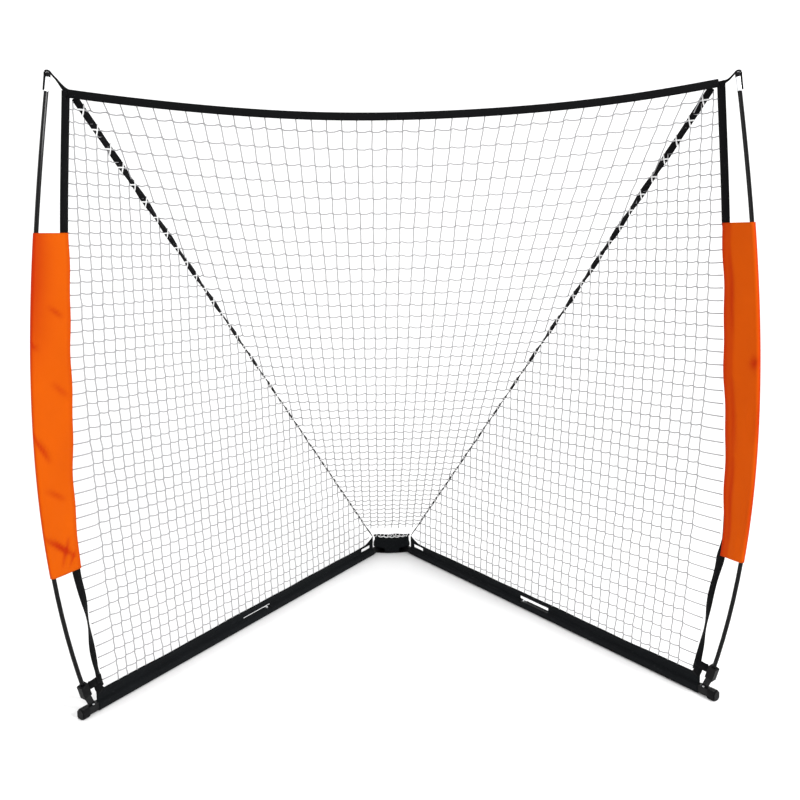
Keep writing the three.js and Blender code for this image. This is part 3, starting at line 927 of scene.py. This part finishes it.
def beside_head(out, along):
    """A spot by the rod's head: so far out across it and so far up along it."""
    lean = HEAD_LEAN
    return (ROD_HEAD[0] + out * math.cos(lean) + along * math.sin(lean),
            ROD_HEAD[1] - out * math.sin(lean) + along * math.cos(lean))


def corner_strap(side):
    form = Form()
    rise = [(1438, 1778), (1460, 1783), (1476, 1793), (1490, 1804)]
    over = [(-8.4, 14), (-4, 17.2), (4, 17.2), (8.8, 14), (9.2, 2), (9.0, -16), (8.6, -36)]
    stops = rise + [beside_head(*place) for place in over]
    spans = run_of(np.array(stops))
    fine = np.linspace(0, spans[-1], 70)
    out = smooth_through(spans, np.array([p[0] for p in stops]), fine)
    z = smooth_through(spans, np.array([p[1] for p in stops]), fine)
    narrow = np.interp(fine, [0, 22, 42, 60, spans[-1]], [20, 14, 8, 6, 5]) * MM
    sewn = fine[-1] * 0.36
    corner = np.clip((sewn - fine) / sewn, 0, 1)
    x = SIDES[side] * (PIN_HALF + out * OUT_X)
    z = z + corner * askew(x, z)
    tape(form, on_leg(side, out, 0, z, even=True), leg_way(side, -0.4, 0, 1), narrow, thick=0.0022)
    piece = form.make(f"corner_strap_{side}", BLACK_WEBBING)
    place_piece(piece, f"{side}_leg", "webbing", f"{side}_corner_strap")


def foot_strap(side):
    form = Form()
    out, z = [1424, 1434, 1444, 1454, 1462, 1469], [94, 92, 90, 88, 87, 88]
    points = on_leg(side, out, [1.8, 2.2, 2.4, 1.6, 0.6, 0], z)
    tape(form, points, leg_way(side, 0.12, 0, 1), 0.026)
    points = on_leg(side, [1426, 1431, 1436, 1440], [1.6, 1.7, 1.8, 1.8], [52, 60, 70, 84])
    tape(form, points, leg_way(side, 1, 0, -0.4), 0.024)
    piece = form.make(f"foot_strap_{side}", BLACK_WEBBING)
    place_piece(piece, f"{side}_leg", "webbing", f"{side}_lower_strap")


for side in SIDES:
    corner_strap(side)
    foot_strap(side)

# %% [markdown]
# ## The orange sleeves
#
# Each sleeve is one piece of cloth, folded round the rod and the side tape and sewn along its inner edge,
# with a hem at the top and the foot. The rod keeps its outer fold round, the tape keeps its inner fold thin,
# and the cloth between hangs almost flat. Pull runs slantwise from the hems, so it leaves slanting creases.
# A closed tube is sculpted here: its section changes with height, and each crease pushes the cloth in along
# a line.

# %% The sleeve's section and creases
ROUND_STEPS, FLAT_STEPS = 9, 16
CREASES = {
    "left": [(0.04, 850, 0.42, 772, 4.6, 6), (0.12, 560, 0.86, 484, 5.2, 6), (0.5, 1190, 0.8, 1160, 2.8, 6),
             (0.02, 1100, 0.2, 1080, 2.8, 5), (0.55, 980, 0.9, 940, 2.4, 7), (0.3, 690, 0.75, 655, 2.6, 7),
             (0.5, 470, 0.75, 540, 3.4, 5), (0.7, 462, 0.9, 500, 3.0, 4)],
    "right": [(0.1, 1030, 0.3, 1005, 2.6, 10), (0.06, 905, 0.16, 800, 1.8, 8), (0.1, 660, 0.16, 480, 2.0, 7),
              (0.78, 1330, 0.80, 1100, 1.8, 6), (0.78, 960, 0.74, 760, 2.0, 6),
              (0.76, 740, 0.8, 500, 1.8, 6)],
}


def crease_depth(side, share, z, wide):
    """How far the creases push the cloth in, in millimetres, at a share of its width and a height."""
    depth = np.zeros_like(share)
    for s0, z0, s1, z1, deep, broad in CREASES[side]:
        a, b = np.array([s0 * wide, z0]), np.array([s1 * wide, z1])
        here = np.stack([share * wide, np.full_like(share, z)], -1)
        t = np.clip(((here - a) @ (b - a)) / ((b - a) @ (b - a)), 0, 1)
        gap = np.linalg.norm(here - (a + t[:, None] * (b - a)), axis=1)
        depth += deep * np.exp(-((gap / broad) ** 2)) * np.sin(math.pi * (0.12 + 0.76 * t))
    return depth


def inner_edge(side, z):
    """Where the sleeve's inner fold lies."""
    wave = 1.6 * math.sin(z / 58.0 + (2 if side == "left" else 0)) + 1.2 * math.sin(z / 27.0)
    tuck = float(np.interp(z, [SLEEVE_LOW, SLEEVE_HIGH], [12, 5])) if side == "right" else 0
    return float(band_out(side, z)) - TAPE_HALF - 2.6 + wave + tuck


def sleeve_ring(side, z, shrink):
    """One level of the sleeve, as distances out and inward, starting at the middle of the outer fold."""
    outer, inner = float(rod_out(z)), inner_edge(side, z) + 3.4
    wide = outer - inner
    turn = np.linspace(0, math.pi / 2, ROUND_STEPS, endpoint=False)
    big, small = 8.4 - shrink, 3.4 - shrink
    share = np.linspace(0, 1, FLAT_STEPS + 1)
    slack = np.sin(math.pi * share)
    ripple = slack * (1.1 * np.sin(z / 61 + 3.1 * share) + 0.7 * np.sin(z / 23 - 5 * share + 1))
    half = big + (small - big) * (share**0.75) + 1.1 * slack
    front = half + ripple - crease_depth(side, share, z, wide)
    back = half - ripple * 0.7 - 0.5 * crease_depth(side, share[::-1], z, wide)[::-1]
    hem = 0.5 * (math.exp(-(((z - SLEEVE_HIGH) / 9) ** 2)) + math.exp(-(((z - SLEEVE_LOW) / 9) ** 2)))
    front, back = np.maximum(front, small * 0.55) + hem, np.maximum(back, small * 0.55) + hem
    out = [outer + big * np.cos(turn), outer - wide * share, inner - small * np.sin(turn[1:]),
           [inner - small], (inner - small * np.sin(turn[1:]))[::-1], (outer - wide * share)[::-1],
           (outer + big * np.cos(turn))[:0:-1]]
    blend = np.cos(turn[1:])
    side_way = [big * np.sin(turn), front, front[-1] * blend, [0], (-back[-1] * blend)[::-1], -back[::-1],
                (-big * np.sin(turn))[:0:-1]]
    return np.concatenate(out), np.concatenate(side_way)


# %% The sleeves
SLEEVE_WALL = 0.8


def sleeve(side):
    form = Form()
    levels = np.linspace(SLEEVE_LOW, SLEEVE_HIGH, 120)
    skins = []
    for shrink in (0, SLEEVE_WALL):
        rings = []
        for z in levels:
            out, inward = sleeve_ring(side, z, shrink)
            rings.append(on_leg(side, out, inward, z))
        skins.append(np.array(rings))
    outer, lining = skins
    around = run_of(np.vstack([outer[60], outer[60][:1]]))
    rows = np.concatenate([outer, lining[::-1], outer[:1]])
    up = (levels - SLEEVE_LOW) * MM
    along = np.concatenate([up, up[::-1], up[:1]])
    form.skin(rows, around, along)
    piece = form.make(f"sleeve_{side}", SLEEVE_CLOTH)
    rework(piece.data, lambda shape: bmesh.ops.remove_doubles(shape, verts=shape.verts, dist=1e-6))
    rework(piece.data, face_outwards)
    paint_shade(piece, side)
    place_piece(piece, f"{side}_leg", "orange_cloth", f"{side}_sleeve")


def paint_shade(piece, side):
    """Paints shade into the cloth's colour: at its folds and creases, on the upper outer part of the left
    sleeve, and over the whole right sleeve, most where the black tape lies behind it.
    """
    spots = []
    for vertex in piece.data.vertices:
        z = vertex.co.z / MM
        out = (abs(vertex.co.x) / MM - PIN_HALF) / OUT_X
        wide = rod_out(z) + 8 - inner_edge(side, z)
        share = np.clip((rod_out(z) + 8 - out) / wide, 0, 1)
        # Painted shade at the folds: strongest at the outer fold, where the cloth turns away round the rod,
        # and weaker at the inner fold.
        fold = math.exp(-((share / 0.09) ** 2)) + 0.55 * math.exp(-(((1 - share) / 0.05) ** 2))
        # Painted shade. On the left it lies over the upper outer part. On the right it covers the whole
        # sleeve, is stronger over the inner part where the black tape lies behind, and adds one painted
        # shadow spot.
        if side == "left":
            shade = math.exp(-((share / 0.42) ** 2)) * np.clip((z - 980) / 260, 0, 1) * 0.8
        else:
            shade = 0.22 + 0.4 / (1 + math.exp(-(share - 0.77) / 0.012))
            shade += 0.35 * math.exp(-(((share - 0.22) / 0.08) ** 2 + ((z - 1015) / 26) ** 2))
        # Painted shade in the creases: the deeper the crease, the darker the cloth.
        painted_shade = crease_depth(side, np.array([share]), z, wide)[0] * (0.2 if side == "left" else 0.16)
        spots.append(min(1.0, 0.6 * fold + shade + painted_shade))
    tone = piece.data.attributes.new("tone", "FLOAT", "POINT")
    tone.data.foreach_set("value", np.array(spots, np.float32))


for side in SIDES:
    sleeve(side)

# %% [markdown]
# ## Leg covers
#
# A strip of cover cloth wraps each leg tube and its two edges are sewn together above it, with a folded hem
# on top that the side panel is caught in. A long slot lets the fingers reach the snap button, and a short
# slot near the hub lets a hand lift the leg. The cloth is made as one open sheet, from hem to hem round the
# tube, with the slots left out, and then it is given its thickness.

# %% Leg covers
COVER_FROM, COVER_TO = 57.0, 1441.0
COVER_PROFILE = np.array([
    (0.75, 58), (1.3, 57), (1.3, 51.2), (0.75, 50), (0.75, 46), (0.75, 43), (0.75, 40), (0.75, 36.5),
    (0.8, 33),
    (1.0, 30.5), (3.0, 28.2), (7.0, 26.9), (10.2, 25.6), (11.3, 23), (11.5, 18), (11.4, 12), (11.4, 7),
    (10.6, 4.2), (8.0, 3.1), (0, 3.0)])
LONG_SLOT = {"left": (707.0, 843.0, 30.5, 36.5), "right": (707.0, 843.0, 26.5, 43.0)}
SHORT_SLOT = (80.0, 141.0, 36.5, 50.0)
BUTTON_OUT = 722.0


def cover_section():
    """The whole way round, from one edge at the top to the other."""
    other = COVER_PROFILE[:-1][::-1] * np.array([-1, 1])
    return np.concatenate([COVER_PROFILE, other])


def leg_cover(side):
    form = Form()
    section = cover_section()
    slots = LONG_SLOT[side], SHORT_SLOT
    marks = [place for slot in slots for place in slot[:2]] + [BUTTON_OUT - 10, BUTTON_OUT + 10]
    stations = sorted({*np.linspace(COVER_FROM, COVER_TO, 230).tolist(), *marks})
    around = run_of(section) * MM
    rows = []
    for out in stations:
        ends = min(out - COVER_FROM, COVER_TO - out)
        lift = np.clip((section[:, 1] - 30) / 25, 0, 1)
        sway = lift * (1.5 * math.sin(out / 83) + 0.9 * math.sin(out / 31 + 1)) * min(ends / 60, 1)
        belly = np.exp(-(((section[:, 1] - 16) / 9) ** 2)) * np.sign(section[:, 0])
        belly = belly * (0.35 * math.sin(out / 47) + 0.35 * math.sin(out / 19 + 2))
        drop = lift * (0.7 * math.sin(out / 120 + 2) - 0.7)
        z = section[:, 1] + drop
        shoulder = 21 * np.clip((118 - out) / 60, 0, 1) ** 1.6
        z = z + shoulder * np.clip((section[:, 1] - 50) / 8, 0, 1)
        rows.append(on_leg(side, np.full(len(section), out), section[:, 0] + sway + belly, z))
    form.skin(rows, around, np.array(stations) * MM, closed=False)
    keep = []
    spans = len(section) - 1
    for number in range(len(form.faces)):
        row, column = divmod(number, spans)
        out = (stations[row] + stations[row + 1]) / 2
        z = (section[column, 1] + section[column + 1, 1]) / 2
        in_slot = any(a < out < b and low < z < high for a, b, low, high in slots)
        by_button = abs(out - BUTTON_OUT) < 10 and 24 < z < slots[0][3]
        if not (in_slot or by_button):
            keep.append(number)
    form.faces = [form.faces[n] for n in keep]
    form.flat = [form.flat[n] for n in keep]
    piece = form.make(f"leg_cover_{side}", COVER_CLOTH, tidy=False)
    thicken(piece, 1.1 * MM)
    place_piece(piece, f"{side}_leg", "black_cloth", f"{side}_skirt")


def drop_loose(shape):
    bmesh.ops.delete(shape, geom=[v for v in shape.verts if not v.link_faces], context="VERTS")


def thicken(piece, thickness):
    """Gives an open sheet its thickness and removes the corners that no face uses."""
    rework(piece.data, drop_loose)
    wall = piece.modifiers.new("thickness", "SOLIDIFY")
    wall.thickness = thickness
    wall.offset = 0
    bpy.context.view_layer.objects.active = piece
    piece.select_set(True)
    bpy.ops.object.modifier_apply(modifier=wall.name)
    piece.select_set(False)


for side in SIDES:
    leg_cover(side)

# %% [markdown]
# ## The hub cover
#
# The hub wears a cap of the same cloth. Its front stands up towards a short laced tape and a flap hangs from
# it between the legs; its back hangs nearly to the ground. It is drawn as a grid: from the
# foot of the front flap up, over the hub and down the back, with the width changing on the way.

# %% Hub cover
HUB_ROUTE = np.array([(-42.5, 5), (-42, 14), (-41.5, 24), (-40.5, 33), (-40, 42), (-40, 52), (-40.5, 62),
                      (-41, 72), (-40.8, 80)])
CAP_ROUTE = np.array([(-39, 41.6), (-30, 42.4), (-18, 42.8), (-6, 43.0), (8, 42.8), (20, 42.4), (32, 41.4),
                      (40, 38.6), (43.2, 33), (43.6, 25), (43.4, 16), (43, 7)])
HUB_TAPE_Z = 84.0
CAP_HALVES = np.array([74, 78, 79, 79, 79, 78, 72, 62, 58.5, 58, 58, 57.5])


def front_half(z):
    return np.interp(z, [5, 26, 29, 33, 60, 80], [31, 31, 60, 73, 75, 73])


def hub_cover():
    form = Form()
    shares = np.linspace(-1, 1, 41)
    rows = []
    for y, z in HUB_ROUTE:
        x = shares * front_half(z)
        fold = 1.4 * np.sin(x / 9.5 + z / 30) + 0.8 * np.sin(x / 4.1 - z / 17)
        top = np.clip((z - 60) / 20, 0, 1) * (2.2 * np.sin(x / 10.5 + 1.1) - 1.6)
        rows.append(on_hub(x, y + fold * 0.6, z + top))
    form.skin(rows, shares * 75 * MM, run_of(HUB_ROUTE) * MM, closed=False)
    rows = []
    for (y, z), half in zip(CAP_ROUTE, CAP_HALVES):
        x = shares * half
        turned = np.clip((np.abs(shares) - 0.93) / 0.07, 0, 1) * (1 if z > 38 else 0)
        ripple = 0.9 * np.sin(x / 15 + y / 11) + 0.6 * np.sin(x / 6.5)
        nuts = 1.5 * np.exp(-(((np.abs(x) - 50) / 12) ** 2 + (y / 14) ** 2))
        behind = 1.0 if y > 41 else 0.0
        lift = (ripple * 0.5 + nuts) * (1 - behind) - 10 * turned
        rows.append(on_hub(x, y + ripple * behind * 0.5, z + lift))
    form.skin(rows, shares * 75 * MM, run_of(CAP_ROUTE) * MM, closed=False)
    piece = form.make("hub_cover_cloth", COVER_CLOTH, tidy=False)
    thicken(piece, 1.3 * MM)
    place_piece(piece, "hub", "black_cloth", "hub_cover")


def hub_tape():
    form = Form()
    x = np.linspace(-78, 78, 60)
    points = on_hub(x, -44 + 0.4 * np.sin(x / 9), HUB_TAPE_Z + 1.3 * np.sin(x / 12))
    tape(form, points, (0, 0, 1), 0.009, thick=0.0024)
    piece = form.make("hub_tape", BLACK_WEBBING)
    place_piece(piece, "hub", "webbing", "hub_webbing")


def hub_lacing():
    """Loops that slant round the tape, and one strand that hangs in scallops in front of the cover."""
    form = Form()
    turn = np.linspace(0, 2 * math.pi, 14, endpoint=False)
    for x in np.linspace(-66, 66, 9):
        centre = on_hub(x, -44, HUB_TAPE_Z + 1.3 * math.sin(x / 12))
        loop = np.stack([3.5 * np.cos(turn), 3.2 * np.sin(turn), 6.2 * np.cos(turn)], 1) * MM
        rope(form, centre + loop, 1.7 * MM, axis=(1, 0, 0), looped=True)
    x = np.linspace(-60, 60, 120)
    hang = 5.0 * (1 - (x / 60) ** 2) + 4.2 * np.abs(np.sin((x + 60) / 120 * math.pi * 5))
    rope(form, on_hub(x, -46.8, HUB_TAPE_Z - 1 - hang), 1.9 * MM)
    piece = form.make("hub_lacing", LACING_TWINE)
    place_piece(piece, "hub", "net_twine")


hub_cover()
hub_tape()
hub_lacing()

# %% [markdown]
# ## Finishes for the frame's own parts
#
# The remaining parts keep their shape. Each takes the finish of what it is made of.

# %% Dressing the hard parts
HARD = {
    "leg_inner_tube": COATED_STEEL, "leg_outer_tube": COATED_STEEL, "leg_spigot": ZINC, "snap_button": ZINC,
    "button_spring": ZINC, "end_cap": PLASTIC, "rod_socket": PLASTIC, "socket_bracket": COATED_STEEL,
    "bracket_screw_a": ZINC, "bracket_screw_b": ZINC, "rod_lower": FIBREGLASS, "rod_upper": FIBREGLASS,
    "rod_joint": FIBREGLASS, "tip_ferrule": ALUMINIUM, "tip_cap": PLASTIC, "hub_pin": ZINC, "hub_nut": ZINC,
    "hub_rivet": ZINC,
}
HUB_HARD = {"hub_bottom_plate": COATED_STEEL, "hub_top_plate": COATED_STEEL, "hub_stop_block": COATED_STEEL,
            "hub_ring": ZINC}

dressed = {f"{side}_{name}": finish for side in SIDES for name, finish in HARD.items()} | HUB_HARD
for name, finish in dressed.items():
    nodes[name].data.materials.clear()
    nodes[name].data.materials.append(finish)
print("dressed", len(dressed), "parts")

# %% [markdown]
# ## Floor and light
#
# The object is dark and thin, so it reads best on white. One pale sheet makes the floor and curves up behind
# it, a white surround lights it evenly, and a lamp from the front right, with a weaker one from the left,
# gives the sleeves their brighter and duller sides; more shade is painted into the right sleeve's colour.

# %% Floor and backdrop
def backdrop():
    form = Form()
    route = [(-9.0, 0), (2.6, 0)]
    route += [(2.6 + 1.2 * math.sin(a), 1.2 - 1.2 * math.cos(a)) for a in np.linspace(0.1, math.pi / 2, 14)]
    route += [(3.8, 7.0)]
    rows = [[(-9, y, z), (9, y, z)] for y, z in route]
    form.skin(rows, [0, 18], run_of(np.array(route)), closed=False)
    finish = Finish("pale_floor", Specular_IOR_Level=0.1)
    grain = finish.noise(finish.place(), 3.0, 2.0)
    finish.feed("Base Color", finish.mix(grain, (0.90, 0.90, 0.90), (0.93, 0.93, 0.93)))
    finish.feed("Roughness", 0.85 + grain * 0.1)
    floor = form.make("floor", finish.material, tidy=False)


backdrop()

# %% Light
world = bpy.data.worlds.new("white_surround")
world.use_nodes = True
world.node_tree.nodes["Background"].inputs["Color"].default_value = (1, 1, 1, 1)
world.node_tree.nodes["Background"].inputs["Strength"].default_value = 1.05
bpy.context.scene.world = world
bpy.context.scene.view_settings.view_transform = "Standard"


def lamp(name, place, aim, size, power):
    light = bpy.data.lights.new(name, "AREA")
    light.shape, light.size, light.energy = "DISK", size, power
    made = bpy.data.objects.new(name, light)
    bpy.context.scene.collection.objects.link(made)
    made.location = place
    made.rotation_euler = (Vector(aim) - Vector(place)).to_track_quat("-Z", "Y").to_euler()


lamp("key", (3.4, -3.4, 3.2), (-0.3, 0, 0.8), 1.5, 190)
lamp("fill", (-3.4, -3.2, 2.6), (0, 0, 0.8), 3.0, 52)
print("two lamps and a white surround")
